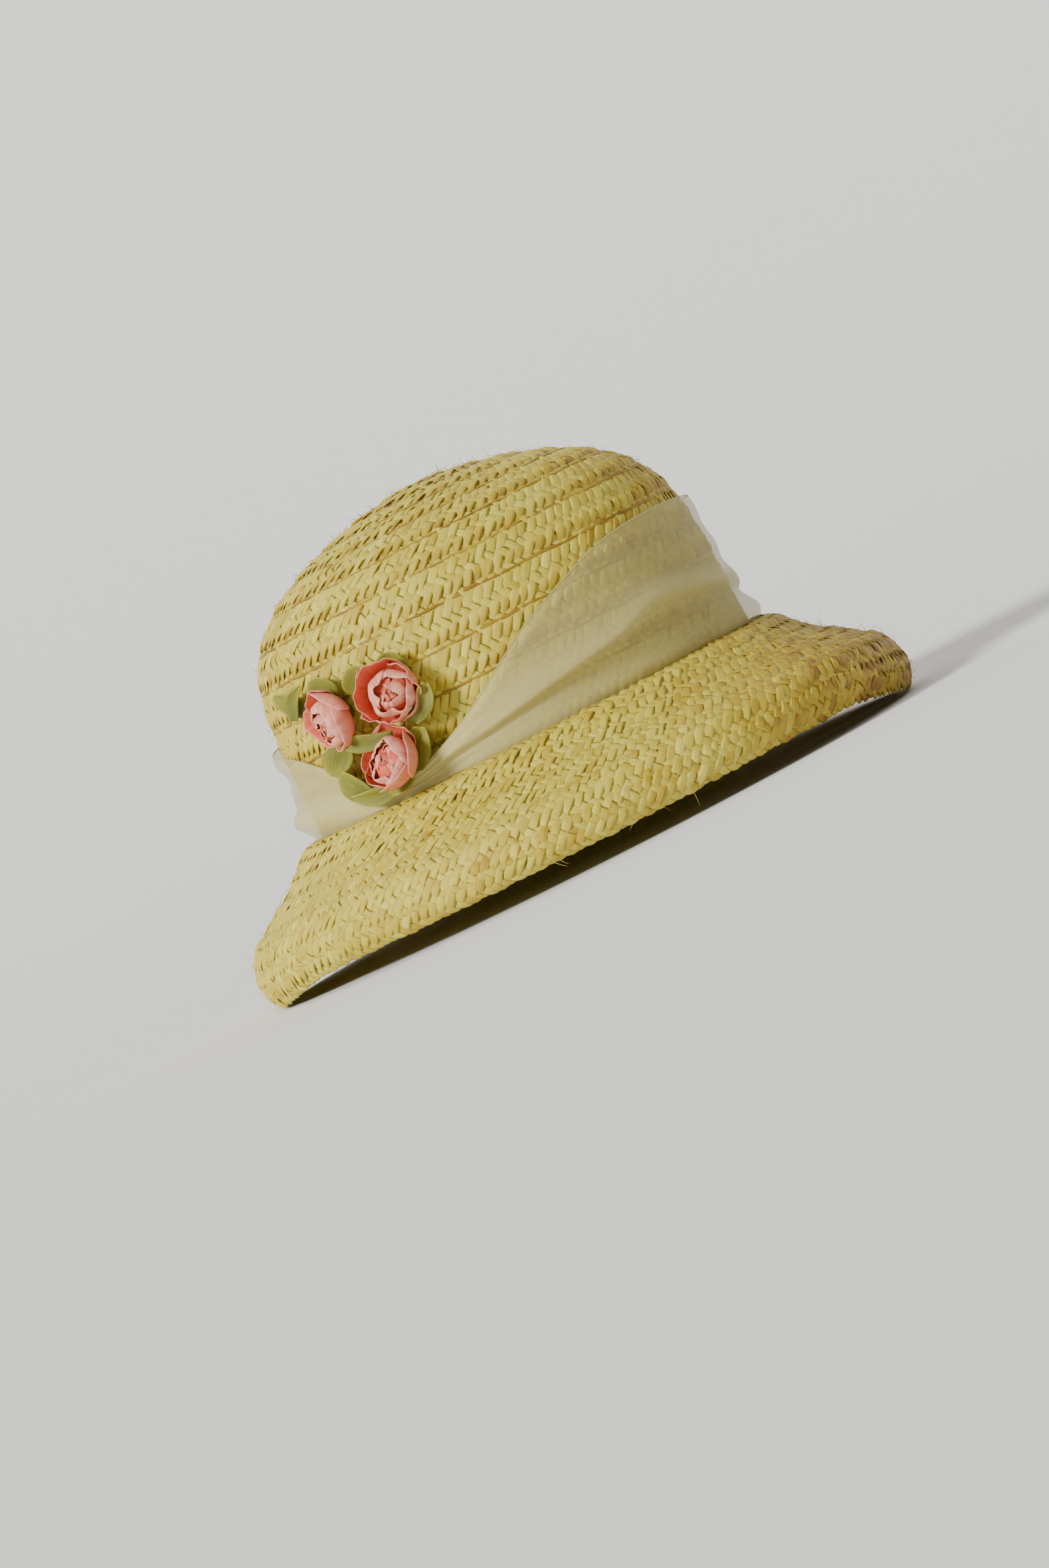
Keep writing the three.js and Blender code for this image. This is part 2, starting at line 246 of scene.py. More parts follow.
def on_crown(along, off, azimuth):
    radius, height, out, rise = side_point(crown_side, along, off)
    squeeze = CROWN["half_width"] / CROWN["half_length"]
    c, s = np.cos(azimuth), np.sin(azimuth)
    flat = unit(np.stack([c * squeeze, s], -1))
    points = np.stack([radius * c, radius * squeeze * s, height], -1)
    return points, np.stack([out * flat[..., 0], out * flat[..., 1], rise], -1)


def on_brim(along, off, azimuth):
    radius, drop, out, rise = side_point(brim_side, along, off)
    c, s = np.cos(azimuth), np.sin(azimuth)
    keep = 1 - BRIM_LIFT["rise"] / JUNCTION * smoothstep(np.abs(s), BRIM_LIFT["start"], BRIM_LIFT["full"])
    flat = unit(np.stack([c * (radius - NARROWER), s * radius], -1))
    height = JUNCTION + drop * np.where(drop < 0, keep, 1)
    points = np.stack([radius * c, (radius - NARROWER) * s, height], -1)
    return points, unit(np.stack([out * flat[..., 0], out * flat[..., 1], rise], -1))


def ring_arc(surface, along):
    """Azimuths round a surface at one place along it, and the length of the ring up to each."""
    azimuth = np.linspace(0, 2 * np.pi, RING_POINTS)
    ring = surface(np.full(RING_POINTS, along), np.zeros(RING_POINTS), azimuth)[0]
    return azimuth, np.concatenate([[0], np.cumsum(np.linalg.norm(np.diff(ring, axis=0), axis=1))])


print("round the brim's edge:", round(ring_arc(on_brim, brim_side["length"])[1][-1]), "mm")

# %% [markdown]
# Raffia is a strip of dried palm leaf, grown and then split by hand. Fine fibres run along each strip, and
# some strips are paler than others. To the eye that is a dull, broken gloss and a colour that changes from
# straw to straw. The straw towards the wearer's front is painted darker and browner: painted shade, where
# the light falls less. A picture of straw projected on the hat would smear on the curled edge, so the noise
# here follows each strand's own length and width. Real fibres are about 0.1 mm wide, too fine to show, so
# they are drawn 0.35 mm wide. Dry plant fibre is fairly rough, with an IOR of 1.53.

# %% Raffia straw
FIBRE = repeats(12, 0.35)
BLOTCH = repeats(16, 6)
STRAW_COLOURS = [(0.0, "#8A5C00"), (0.3, "#BFA220"), (0.6, "#D8C846"), (1.0, "#EDE27A")]


def straw_material():
    material, tree = new_material("raffia_straw")
    fibre = add(tree, "ShaderNodeAttribute", attribute_name="fibre").outputs["Vector"]
    tint = add(tree, "ShaderNodeAttribute", attribute_name="tint").outputs["Fac"]
    stretched = add(tree, "ShaderNodeVectorMath", {0: fibre, 1: FIBRE}, operation="MULTIPLY")
    streak = add(tree, "ShaderNodeTexNoise", {"Vector": stretched.outputs[0], "Scale": 1.0, "Detail": 3.0})
    spread = add(tree, "ShaderNodeVectorMath", {0: fibre, 1: BLOTCH}, operation="MULTIPLY")
    patch = add(tree, "ShaderNodeTexNoise", {"Vector": spread.outputs[0], "Scale": 1.0, "Detail": 2.0})
    streaks = {0: streak.outputs["Fac"], 1: 0.5, 2: tint}
    fine = add(tree, "ShaderNodeMath", streaks, operation="MULTIPLY_ADD")
    patches = {0: patch.outputs["Fac"], 1: 0.5, 2: fine.outputs[0]}
    mixed = add(tree, "ShaderNodeMath", patches, operation="MULTIPLY_ADD")
    shade = add(tree, "ShaderNodeMapRange", {"Value": mixed.outputs[0], "From Min": -0.1, "From Max": 1.1})
    colour = add(tree, "ShaderNodeValToRGB", {"Fac": shade.outputs[0]}, STRAW_COLOURS)
    grain = {"Height": streak.outputs["Fac"], "Strength": 0.5, "Distance": 0.0005}
    bump = add(tree, "ShaderNodeBump", grain)
    look = {"Base Color": colour.outputs[0], "Roughness": 0.6, "IOR": 1.53, "Normal": bump.outputs[0]}
    skin = add(tree, "ShaderNodeBsdfPrincipled", look)
    add(tree, "ShaderNodeOutputMaterial", {"Surface": skin.outputs[0]})
    return material


straw = straw_material()
print("straw material:", len(straw.node_tree.nodes), "nodes")

# %% [markdown]
# Each row of the hat is a flat plait of seven straw ends. A bump pattern would look flat at the edge of the
# hat, so every strand is modelled: it runs from edge to edge of its row and back, over some of the strands
# it meets and under the others. An over table has one number for each column of crossings, from the lower
# edge up: 1 where the rising strand lies on top and -1 where it goes under. The uneven table gives, for
# each thing that varies along a strand, the samples between two free values and the size of the change.

# %% How a strand runs
PLAIT = {
    "ends": 7, "pitch": 4.6, "lap": 4.0, "strand": 4.2, "thick": 0.42, "weave": 0.36, "turn": 1.2,
    "corner": 0.97, "pinch": 0.3, "pinch_power": 8, "longer": 1.56,
}
CROWN_OVER = (1, 1, -1, 1, 1, -1)
BRIM_OVER = (-1, 1, 1, -1, 1, 1)
UNEVEN = {
    "around": (7, 0.5), "across": (6, 0.03), "off": (5, 0.12), "roll": (5, 0.12), "width": (6, 0.13),
    "tint": (14, 0.12),
}
PER_PERIOD = 4 * PLAIT["ends"]


def weave_heights(over):
    """Height of a strand at the places of its way up and back, from -1 under to 1 over."""
    rising = [0, *over, 0]
    falling = [0, *[-o for o in reversed(over)], 0]
    knots = rising[:-1] + falling[:-1]
    return np.interp(np.arange(PER_PERIOD) / 2, np.arange(len(knots) + 1), knots + [knots[0]])


def smooth_noise(count, spacing, size):
    """Seeded noise round a closed strand, with one free value about every spacing samples."""
    knots = rng.normal(0, size, max(3, count // spacing))
    place = np.arange(count) / count * len(knots)
    return np.interp(place, np.arange(len(knots) + 1), np.append(knots, knots[0]))


print("strand heights on the brim:", weave_heights(BRIM_OVER)[::2].tolist())

# %% [markdown]
# A strand is a ribbon with a five-sided section, wide and thin, so that it catches light on its edges. A
# row closes on itself, so strands have no ends to hide. Straw towards the wearer's front is painted darker
# and browner, as painted shade. The lower side of a crown row is painted darker as well, as painted shade in
# the seam, where the row's rolled-in edge faces down.

# %% One plaited row
SECTION = np.array([(-1, 0), (-0.5, 0.9), (0.5, 0.9), (1, 0), (0, -0.9)])
# Painted shade: the straw is painted darker and browner towards the wearer's front.
FRONT_SHADE = {"most": 0.4, "from": 40, "to": 150}
# Painted shade: the lower side of each crown row is painted darker, in the seam.
SEAM_SHADE_BAND = {"from": 0.35, "to": 0.8}
NOISE_SPREAD = 400


def stacked(*columns):
    return np.stack(np.broadcast_arrays(*columns), -1)


def tangents(points):
    return unit(np.roll(points, -1, 0) - np.roll(points, 1, 0))


def ribbon(points, side, normals, width, thick):
    across = side[:, None] * (SECTION[:, 0] * width[:, None])[..., None]
    return points[:, None] + across + normals[:, None] * (SECTION[:, 1] * thick)[None, :, None]


def plait_row(surface, upper, lower, stand, over, seam_shade_depth):
    """Strands of one row. stand gives its height off the surface, from upper edge, 1, to lower edge, -1."""
    middle, half = (upper + lower) / 2, (lower - upper) / 2 - PLAIT["turn"]
    azimuth, arc = ring_arc(surface, middle)
    periods = max(2, round(arc[-1] / (PLAIT["ends"] * PLAIT["pitch"])))
    count = periods * PER_PERIOD
    lifts = np.tile(weave_heights(over), periods)
    share = np.arange(count) / PER_PERIOD
    swing = np.arcsin(PLAIT["corner"] * np.sin(2 * np.pi * (share - 0.25))) / math.asin(PLAIT["corner"])
    pinch = 1 - PLAIT["pinch"] * np.abs(swing) ** PLAIT["pinch_power"]
    travel = np.arange(count) * arc[-1] / count * PLAIT["longer"]
    strands = []
    for end in range(PLAIT["ends"]):
        s = (share + end / PLAIT["ends"]) / periods * arc[-1] + smooth_noise(count, *UNEVEN["around"])
        across = swing + smooth_noise(count, *UNEVEN["across"])
        along = middle - across * half
        off = stand(across, along) + PLAIT["weave"] * lifts + smooth_noise(count, *UNEVEN["off"])
        points, normals = surface(along, off, np.interp(s % arc[-1], arc, azimuth))
        side = unit(np.cross(normals, tangents(points)))
        roll = smooth_noise(count, *UNEVEN["roll"])[:, None]
        rolled_side = side * np.cos(roll) + normals * np.sin(roll)
        rolled_out = normals * np.cos(roll) - side * np.sin(roll)
        width = PLAIT["strand"] / 2 * pinch * (1 + smooth_noise(count, *UNEVEN["width"]))
        skin = ribbon(points, rolled_side, rolled_out, width, PLAIT["thick"])
        place = rng.uniform(0, NOISE_SPREAD)
        fibre = stacked(travel[:, None], SECTION[:, 0] * PLAIT["strand"] / 2, place)
        # painted shade, darker and browner towards the wearer's front
        front_shade = FRONT_SHADE["most"] * smoothstep(points[:, 0], FRONT_SHADE["from"], FRONT_SHADE["to"])
        # painted shade on the lower side of the row, in the seam
        seam_shade = seam_shade_depth * smoothstep(-across, SEAM_SHADE_BAND["from"], SEAM_SHADE_BAND["to"])
        tint = smooth_noise(count, *UNEVEN["tint"]) - seam_shade - front_shade
        strands.append((skin, fibre, np.repeat(tint[:, None], len(SECTION), 1)))
    return strands


print("a strand has", len(SECTION), "sides and", PER_PERIOD, "rings on its way there and back")

# %% [markdown]
# Eleven rows make the crown and five the brim. On the crown each row hangs over the one below, and its
# lower edge rolls in to meet that row. On the brim each row's upper edge lies over the row above, and the
# first row bows up like a shelf before it turns down. A stand function gives that lie: how high a row
# stands from edge to edge.

# %% Crown and brim rows
CROWN_ROWS = 11
BRIM_ROWS = 5
FIRST_EDGE = {"crown": 0.6, "brim": 0.5}
SINK = -0.95
# The last value is how much darker the lower side of a row is painted: painted shade in the seam.
CROWN_LAP = {"tilt": 0.6, "roll_in": 1.3, "from": 0.5, "seam_shade": 0.22}
BRIM_LAP = {"tilt": 0.5, "roll_in": 1.3, "from": 0.5, "seam_shade": 0.0}
SHELF = {"height": 3.0, "place": 0.6, "width": 0.45}
crown_step = crown_side["length"] / CROWN_ROWS
brim_step = brim_side["length"] / BRIM_ROWS


def bell(x, reach):
    return np.exp(-((x / reach) ** 2))


def crown_stand(across, along):
    lap = -CROWN_LAP["tilt"] * across - CROWN_LAP["roll_in"] * smoothstep(-across, CROWN_LAP["from"], 1)
    return SINK + lap


def shelf(along):
    return SHELF["height"] * bell(along / brim_step - SHELF["place"], SHELF["width"])


def brim_stand(across, along):
    lap = BRIM_LAP["tilt"] * across - BRIM_LAP["roll_in"] * smoothstep(across, BRIM_LAP["from"], 1)
    return SINK + lap + shelf(along)


crown_strands, brim_strands = [], []
for row in range(CROWN_ROWS):
    upper = max(row * crown_step - PLAIT["lap"], FIRST_EDGE["crown"])
    lower = (row + 1) * crown_step
    crown_strands += plait_row(on_crown, upper, lower, crown_stand, CROWN_OVER, CROWN_LAP["seam_shade"])
for row in range(BRIM_ROWS):
    upper = row * brim_step - (PLAIT["lap"] if row else FIRST_EDGE["brim"])
    lower = (row + 1) * brim_step
    brim_strands += plait_row(on_brim, upper, lower, brim_stand, BRIM_OVER, BRIM_LAP["seam_shade"])
print(len(crown_strands), "strands in the crown,", len(brim_strands), "in the brim")

# %% [markdown]
# The seams of the crown show as thin brown lines. On the real hat that is the groove between two rows, with
# its shadow and the darker straw that is caught in it by the stitches. Shadow alone comes and goes with the
# light, so here a thin dark straw is laid in each groove: its colour is partly that darker straw and partly
# painted shade of the groove. A thin inner skin closes the pinholes of the plait, as the backs of the straws
# do.

# %% Seams and inner skin
# The seam straw's dark tint is partly darker straw and partly painted shade of the groove.
SEAM = {"step": 1.5, "fewest": 24, "off": -0.85, "width": 1.3, "thick": 0.3, "above": 0.3, "tint": -0.42}
SEAM_UNEVEN = {"wander": (4, 0.25), "off": (3, 0.12), "width": (3, 0.2), "tint": (8, 0.08)}
UNDER = {
    "crown_start": 1, "brim_start": 3, "short": 2, "depth": -1.2, "wall": 0.15, "tint": -0.2,
    "along": 40, "around": 144,
}


def evenly_round(count):
    return np.linspace(0, 2 * np.pi, count, endpoint=False)


def seam(along):
    arc = ring_arc(on_crown, along)[1]
    count = max(SEAM["fewest"], round(arc[-1] / SEAM["step"]))
    wander = along + smooth_noise(count, *SEAM_UNEVEN["wander"])
    off = SEAM["off"] + smooth_noise(count, *SEAM_UNEVEN["off"])
    points, normals = on_crown(wander, off, evenly_round(count))
    side = unit(np.cross(normals, tangents(points)))
    width = SEAM["width"] / 2 * (1 + smooth_noise(count, *SEAM_UNEVEN["width"]))
    skin = ribbon(points, side, normals, width, SEAM["thick"])
    travel = np.arange(count)[:, None] * SEAM["step"]
    fibre = stacked(travel, SECTION[:, 0], rng.uniform(0, NOISE_SPREAD))
    # partly darker straw, partly painted shade of the groove
    tint = SEAM["tint"] + smooth_noise(count, *SEAM_UNEVEN["tint"])
    return skin, fibre, np.repeat(tint[:, None], len(SECTION), 1)


def under_layer(surface, side, start, bulge):
    down = np.linspace(start, side["length"] - UNDER["short"], UNDER["along"])
    along = np.concatenate([down, down[::-1]])[None, :]
    inner = np.arange(2 * UNDER["along"]) >= UNDER["along"]
    off = UNDER["depth"] - UNDER["wall"] * inner[None, :] + bulge(along)
    azimuth = evenly_round(UNDER["around"])[:, None]
    along, off, azimuth = np.broadcast_arrays(along, off, azimuth)
    points = surface(along, off, azimuth)[0]
    fibre = stacked(azimuth * CROWN["half_length"], along, 0)
    return points, fibre, np.full(along.shape, UNDER["tint"])


for row in range(1, CROWN_ROWS):
    crown_strands.append(seam(row * crown_step - SEAM["above"]))
crown_strands.append(under_layer(on_crown, crown_side, UNDER["crown_start"], np.zeros_like))
brim_strands.append(under_layer(on_brim, brim_side, UNDER["brim_start"], shelf))
print(CROWN_ROWS - 1, "seams and 2 inner skins added")

# %% [markdown]
# All strands of a piece are joined into one mesh, because thousands of objects would be slow to handle.
# Crown and brim are two pieces each, which keeps a mesh to a size that is easy to work with. Straw that
# would reach below the floor is laid flat on it, as the brim's own weight does.

# %% Crown and brim of straw
CROWN_TOP_ROWS = 7
BRIM_FLARE_ROWS = 3


def straw_piece(name, strands, replaced, closed=True):
    parts = []
    for skin, fibre, tint in strands:
        faces = grid_faces(*skin.shape[:2], closed, True)
        parts.append((skin.reshape(-1, 3), faces, fibre.reshape(-1, 3), tint.ravel()))
    points, faces, fibres, tints = joined(parts)
    points[:, 2] = np.maximum(points[:, 2], 0)
    return piece(name, points, faces, straw, "straw", replaced, fibre=fibres, tint=tints)


crown_split = CROWN_TOP_ROWS * PLAIT["ends"]
brim_split = BRIM_FLARE_ROWS * PLAIT["ends"]
straw_piece("straw_crown_top", crown_strands[:crown_split], "crown")
straw_piece("straw_crown_wall", crown_strands[crown_split:], "crown")
straw_piece("straw_brim_flare", brim_strands[:brim_split], "brim")
straw_piece("straw_brim_edge", brim_strands[brim_split:], "brim")

# %% [markdown]
# The scarf is one strip of sheer cloth, wound round the crown and drawn to a point under the roses. A cloth
# simulation could wind it, but its folds would fall where they like. Here the upper edge and the two long
# folds are smooth curves through short tables, so each fold lies where the photograph has it. Rows are
# azimuth in degrees and millimetres: heights are above the foot of the crown, and stands are out from the
# straw.

# %% Scarf edges and folds
SCARF = {"foot": -0.4, "off": 2.1, "gather": 237, "round": 480, "up": 48, "hem": 0.35}
SCARF_TOP = [
    (0, 59), (45, 58), (90, 53), (140, 46), (180, 40), (203, 35), (217, 24), (226, 13),
    (235, 8), (244, 9), (258, 20), (280, 43), (309, 59),
]
MAIN_FOLD_HEIGHT = [
    (0, 17), (20, 16), (90, 20), (150, 18), (180, 11), (205, 9), (225, 5), (244, 6.9),
    (267, 12.6), (294, 19.7), (311, 25.4), (344, 18.3),
]
MAIN_FOLD_STAND = [
    (0, 2.2), (90, 2), (150, 2.5), (180, 3), (225, 2), (244, 3), (267, 4.4), (311, 4.6), (344, 2.8),
]
FOOT_FOLD_HEIGHT = [(0, 3.5), (90, 4), (140, 6), (180, 9.5), (205, 8), (225, 4), (268, 2.5), (310, 4)]
FOOT_FOLD_STAND = [
    (0, 5.2), (90, 4), (140, 5), (180, 6.5), (205, 5), (225, 2), (250, 1.5), (285, 3), (310, 3.6),
]


def round_table(rows, azimuth):
    """A smooth curve through rows of azimuth in degrees and value, all the way round."""
    at, values = np.array(rows, float).T
    after = (np.roll(at, -1) - at) % 360
    slope = (np.roll(values, -1) - np.roll(values, 1)) / (after + np.roll(after, 1))
    degrees = np.degrees(azimuth) % 360
    low = np.searchsorted(at, degrees, side="right") - 1
    high = (low + 1) % len(rows)
    width = after[low]
    t = (degrees - at[low]) / width
    start = values[low] * (1 + 2 * t) * (1 - t) ** 2 + slope[low] * width * t * (1 - t) ** 2
    return start + values[high] * t**2 * (3 - 2 * t) + slope[high] * width * t**2 * (t - 1)


at_gather = round_table(SCARF_TOP, np.radians(SCARF["gather"]))
print("scarf at the gather:", round(float(at_gather), 1), "mm tall")

# %% [markdown]
# The cloth is a grid, round the crown one way and up the other. Its stand off the straw is the larger of
# the two folds, and a soft roll at the upper edge, pleats near the gather and faint ripples are added. The
# veil value says how much the cloth hides of what lies behind: more where it is folded double or gathered.

# %% Scarf cloth
MAIN_REACH = {"above": 9, "below": 2.6}
FOOT_REACH = {"above": 6, "below": 6}
EDGE_ROLL = {"down": 3, "stand": 1.0, "behind": 1.2, "back": (0.2, 0.9), "reach": 5}
PLEATS = {"stand": 0.3, "spread": 24, "waves": 3.5}
RIPPLES = {
    "count": 6, "round": (1, 5), "tall": (13, 30), "stand": (0.08, 0.2), "edge": 0.12, "gather": (4, 40),
}
PHASE = (0, 6)
VEIL = {"single": 0.48, "fold_up": 2, "fold_reach": 5, "gathered": 1.6, "spread": 30}


def crown_share(height):
    """Share of the crown's full oval at a height above its foot."""
    up_share = np.clip((height + CROWN["lap"]) / CROWN["height"], 0, 1)
    return (1 - up_share ** CROWN["wall_power"]) ** (1 / CROWN["dome_power"])


def fold(height, middle, stand, above, below):
    reach = np.where(height > middle, above, below)
    return stand * bell(height - middle, reach)


def ripples(azimuth, height):
    total = np.zeros_like(height)
    for _ in range(RIPPLES["count"]):
        waves, tall = rng.integers(*RIPPLES["round"]), rng.uniform(*RIPPLES["tall"])
        stand = rng.uniform(*RIPPLES["stand"])
        total += stand * np.sin(waves * azimuth + 2 * np.pi * height / tall + rng.uniform(*PHASE))
    return total


def scarf_grid():
    azimuth = evenly_round(SCARF["round"])[:, None]
    share = np.linspace(0, 1, SCARF["up"])[None, :]
    top = round_table(SCARF_TOP, azimuth)
    height = SCARF["foot"] + (top - SCARF["foot"]) * share
    from_gather = (np.degrees(azimuth) - SCARF["gather"] + 180) % 360 - 180
    main = round_table(MAIN_FOLD_HEIGHT, azimuth)
    ridge = fold(height, main, round_table(MAIN_FOLD_STAND, azimuth), **MAIN_REACH)
    low = round_table(FOOT_FOLD_HEIGHT, azimuth)
    foot = fold(height, low, round_table(FOOT_FOLD_STAND, azimuth), **FOOT_REACH)
    roll = EDGE_ROLL["stand"] + EDGE_ROLL["behind"] * smoothstep(-np.cos(azimuth), *EDGE_ROLL["back"])
    edge = fold(height, top - EDGE_ROLL["down"], roll, EDGE_ROLL["reach"], EDGE_ROLL["reach"])
    near = bell(from_gather, PLEATS["spread"])
    pleats = PLEATS["stand"] * near * np.sin(2 * np.pi * PLEATS["waves"] * share)
    inside = smoothstep(np.minimum(share, 1 - share), 0, RIPPLES["edge"])
    loose = inside * smoothstep(np.abs(from_gather), *RIPPLES["gather"])
    off = SCARF["off"] + np.maximum(ridge, foot) + edge + pleats + loose * ripples(azimuth, height)
    oval = crown_share(height)
    x = (CROWN["half_length"] * oval + off) * np.cos(azimuth)
    y = (CROWN["half_width"] * oval + off) * np.sin(azimuth)
    points = np.stack([x, y, JUNCTION + height], -1)
    doubled = bell(height - main - VEIL["fold_up"], VEIL["fold_reach"])
    gathered = VEIL["gathered"] * bell(from_gather, VEIL["spread"])
    veil = 1 - (1 - VEIL["single"]) ** (1 + doubled + gathered)
    weave = stacked(azimuth * CROWN["half_length"], height, 0)
    return points, veil, weave


cloth, veil, weave = scarf_grid()
print("scarf veil from", round(veil.min(), 2), "to", round(veil.max(), 2))

# %% [markdown]
# Chiffon is a sheer plain weave of hard-twisted silk. To the eye it is a pale mist over the straw, with a
# little sheen where a fold turns away. Its threads are about 0.1 mm apart, too fine to show, so only its
# slubs are drawn, coarser than they are: streaks of 5 mm by 1.2 mm. A mix of transparent and cloth shaders
# would do, but the alpha of one shader says the same and exports well. Silk has an IOR of 1.54.

# %% Silk chiffon
SLUB = repeats(5, 1.2)
CHIFFON_COLOUR = linear("#CDC17C")


def chiffon_material():
    material, tree = new_material("silk_chiffon")
    veil_value = add(tree, "ShaderNodeAttribute", attribute_name="veil").outputs["Fac"]
    weave_place = add(tree, "ShaderNodeAttribute", attribute_name="weave").outputs["Vector"]
    thread = add(tree, "ShaderNodeVectorMath", {0: weave_place, 1: SLUB}, operation="MULTIPLY")
    slub = add(tree, "ShaderNodeTexNoise", {"Vector": thread.outputs[0], "Scale": 1.0, "Detail": 2.0})
    uneven = add(tree, "ShaderNodeMapRange", {"Value": slub.outputs["Fac"], "To Min": -0.1, "To Max": 0.1})
    hiding = {0: veil_value, 1: uneven.outputs[0]}
    cover = add(tree, "ShaderNodeMath", hiding, operation="ADD", use_clamp=True).outputs[0]
    look = {"Base Color": CHIFFON_COLOUR, "Roughness": 0.7, "IOR": 1.54, "Sheen Weight": 0.3, "Alpha": cover}
    skin = add(tree, "ShaderNodeBsdfPrincipled", look)
    add(tree, "ShaderNodeOutputMaterial", {"Surface": skin.outputs[0]})
    return material


chiffon = chiffon_material()
print("chiffon material:", len(chiffon.node_tree.nodes), "nodes")

# %% [markdown]
# The scarf is left a single surface, because real chiffon has no thickness that shows. Its upper edge has a
# fine rolled hem, a thin tube along the edge.

# %% Scarf and hem
HEM_SIDES = 6
HEM_VEIL = 0.75


def hem_tube(edge, radius):
    tangent = tangents(edge)
    out = unit(np.cross(tangent, [0, 0, 1.0]))
    rise = np.cross(out, tangent)
    angle = evenly_round(HEM_SIDES)
    circle = out[:, None] * np.cos(angle)[None, :, None] + rise[:, None] * np.sin(angle)[None, :, None]
    return (edge[:, None] + radius * circle).reshape(-1, 3), grid_faces(len(edge), HEM_SIDES, True, True)


cloth_faces = grid_faces(SCARF["round"], SCARF["up"], True, False)
scarf = piece(
    "chiffon_scarf", cloth.reshape(-1, 3), cloth_faces, chiffon, "chiffon", "band",
    veil=veil.ravel(), weave=weave.reshape(-1, 3),
)
hem_points, hem_faces = hem_tube(cloth[:, -1], SCARF["hem"])
hem = piece(
    "chiffon_hem", hem_points, hem_faces, chiffon, "chiffon", "band",
    veil=np.full(len(hem_points), HEM_VEIL), weave=hem_points,
)

# %% [markdown]
# Broken fibres stand out of old straw. A particle system could grow them, but its hairs would have to be
# made into meshes for the export, so each is a thin tapered tube here, which leaves the straw and bends
# over. The brim's edge has tufts of them. None grows under the scarf, because it would pierce the cloth.

# %% Loose fibres
FRAY = {
    "longest": 6.5, "shortest": 0.35, "mostly_short": 1.5, "thick": 0.16, "steps": 4, "root": 0.2,
    "rise": (0.25, 0.9), "bend": 0.4, "tint": (0.05, 0.12), "clear_of_scarf": 2,
}
FRAY_COUNT = {"crown": 560, "brim": 380, "edge": 260}
FRAY_SPAN = {"crown": (0.05, 0.97), "brim": (0.15, 0.97), "edge": (0.86, 0.97)}
TUFTS = {"count": 14, "spread": 0.03, "droop": 0.1}
NEARLY_UP = np.array([0, 0, 1.0]) + 1e-3
TRIANGLE = np.array([(math.cos(a), math.sin(a)) for a in np.radians([90, 210, 330])])


def any_azimuth(count):
    return rng.uniform(0, 2 * np.pi, count)


def any_along(side, where):
    return side["length"] * rng.uniform(*FRAY_SPAN[where], FRAY_COUNT[where])


def fibres_on(surface, along, azimuth, droop):
    count = len(along)
    start, out = surface(along, np.full(count, FRAY["root"]), azimuth)
    sideways = unit(np.cross(out, NEARLY_UP))
    down = np.cross(sideways, out)
    angle = any_azimuth(count)[:, None]
    lying = sideways * np.cos(angle) + down * np.sin(angle)
    length = FRAY["longest"] * rng.uniform(FRAY["shortest"], 1, count) ** FRAY["mostly_short"]
    rise = rng.uniform(*FRAY["rise"], count)[:, None]
    turn = unit(rng.normal(0, 1, (count, 3)))
    t = np.linspace(0, 1, FRAY["steps"])[:, None]
    hairs = []
    for i in range(count):
        bend = FRAY["bend"] * turn[i] + [0, 0, droop]
        path = start[i] + length[i] * (t * (lying[i] + out[i] * rise[i]) + t**2 * bend)
        across = unit(np.cross(lying[i], out[i]))
        thick = FRAY["thick"] * (1.1 - t)
        ring = TRIANGLE[None, :, :1] * across + TRIANGLE[None, :, 1:] * out[i]
        skin = path[:, None] + thick[:, None] * ring
        place = rng.uniform(0, NOISE_SPREAD)
        fibre = stacked(t * length[i], TRIANGLE[:, 0] * FRAY["thick"], place)
        hairs.append((skin, fibre, np.full(skin.shape[:2], rng.normal(*FRAY["tint"]))))
    return hairs


azimuth = any_azimuth(FRAY_COUNT["crown"])
along = any_along(crown_side, "crown")
above_foot = on_crown(along, np.zeros_like(along), azimuth)[0][:, 2] - JUNCTION
bare = above_foot > round_table(SCARF_TOP, azimuth) + FRAY["clear_of_scarf"]
hairs = fibres_on(on_crown, along[bare], azimuth[bare], 0)
along = any_along(brim_side, "brim")
hairs += fibres_on(on_brim, along, any_azimuth(FRAY_COUNT["brim"]), 0)
tufts = rng.choice(any_azimuth(TUFTS["count"]), FRAY_COUNT["edge"])
tufts = tufts + rng.normal(0, TUFTS["spread"], FRAY_COUNT["edge"])
hairs += fibres_on(on_brim, any_along(brim_side, "edge"), tufts, TUFTS["droop"])
straw_piece("straw_fray", hairs, None, closed=False)

# %% [markdown]
# Each cloth rose is sewn to the side of the crown on a short stem. Its row says where it sits, measured
# forward and up on the straw, with its size, how it leans forward and up, how it is turned, and the side to
# which it is most open. A matrix for each rose turns its own axes into the hat's, so that a petal can be
# made upright at the origin.

# %% Where the roses sit
ROSES = {
    "front": {"at": (-44, 41), "radius": 13.3, "stem": 2.5, "lean": (10, 4), "turn": 20, "open": 145},
    "back": {"at": (-65.4, 43.2), "radius": 13, "stem": 3.5, "lean": (-24, -6), "turn": 55, "open": 150},
    "low": {"at": (-52, 13.5), "radius": 13.6, "stem": 6, "lean": (-6, 30), "turn": 0, "open": 110},
}
STRAW_RIDGE = 1.1


def seat_on_crown(forward, height):
    """Point on the right side of the crown, and the direction out of the straw there."""
    oval = crown_share(height)
    length, width = CROWN["half_length"] * oval, CROWN["half_width"] * oval
    sideways = -width * np.sqrt(1 - (forward / length) ** 2)
    out = unit(np.stack([forward / length**2, sideways / width**2, np.zeros_like(sideways)], -1))
    return np.stack([forward, sideways, JUNCTION + height], -1), out


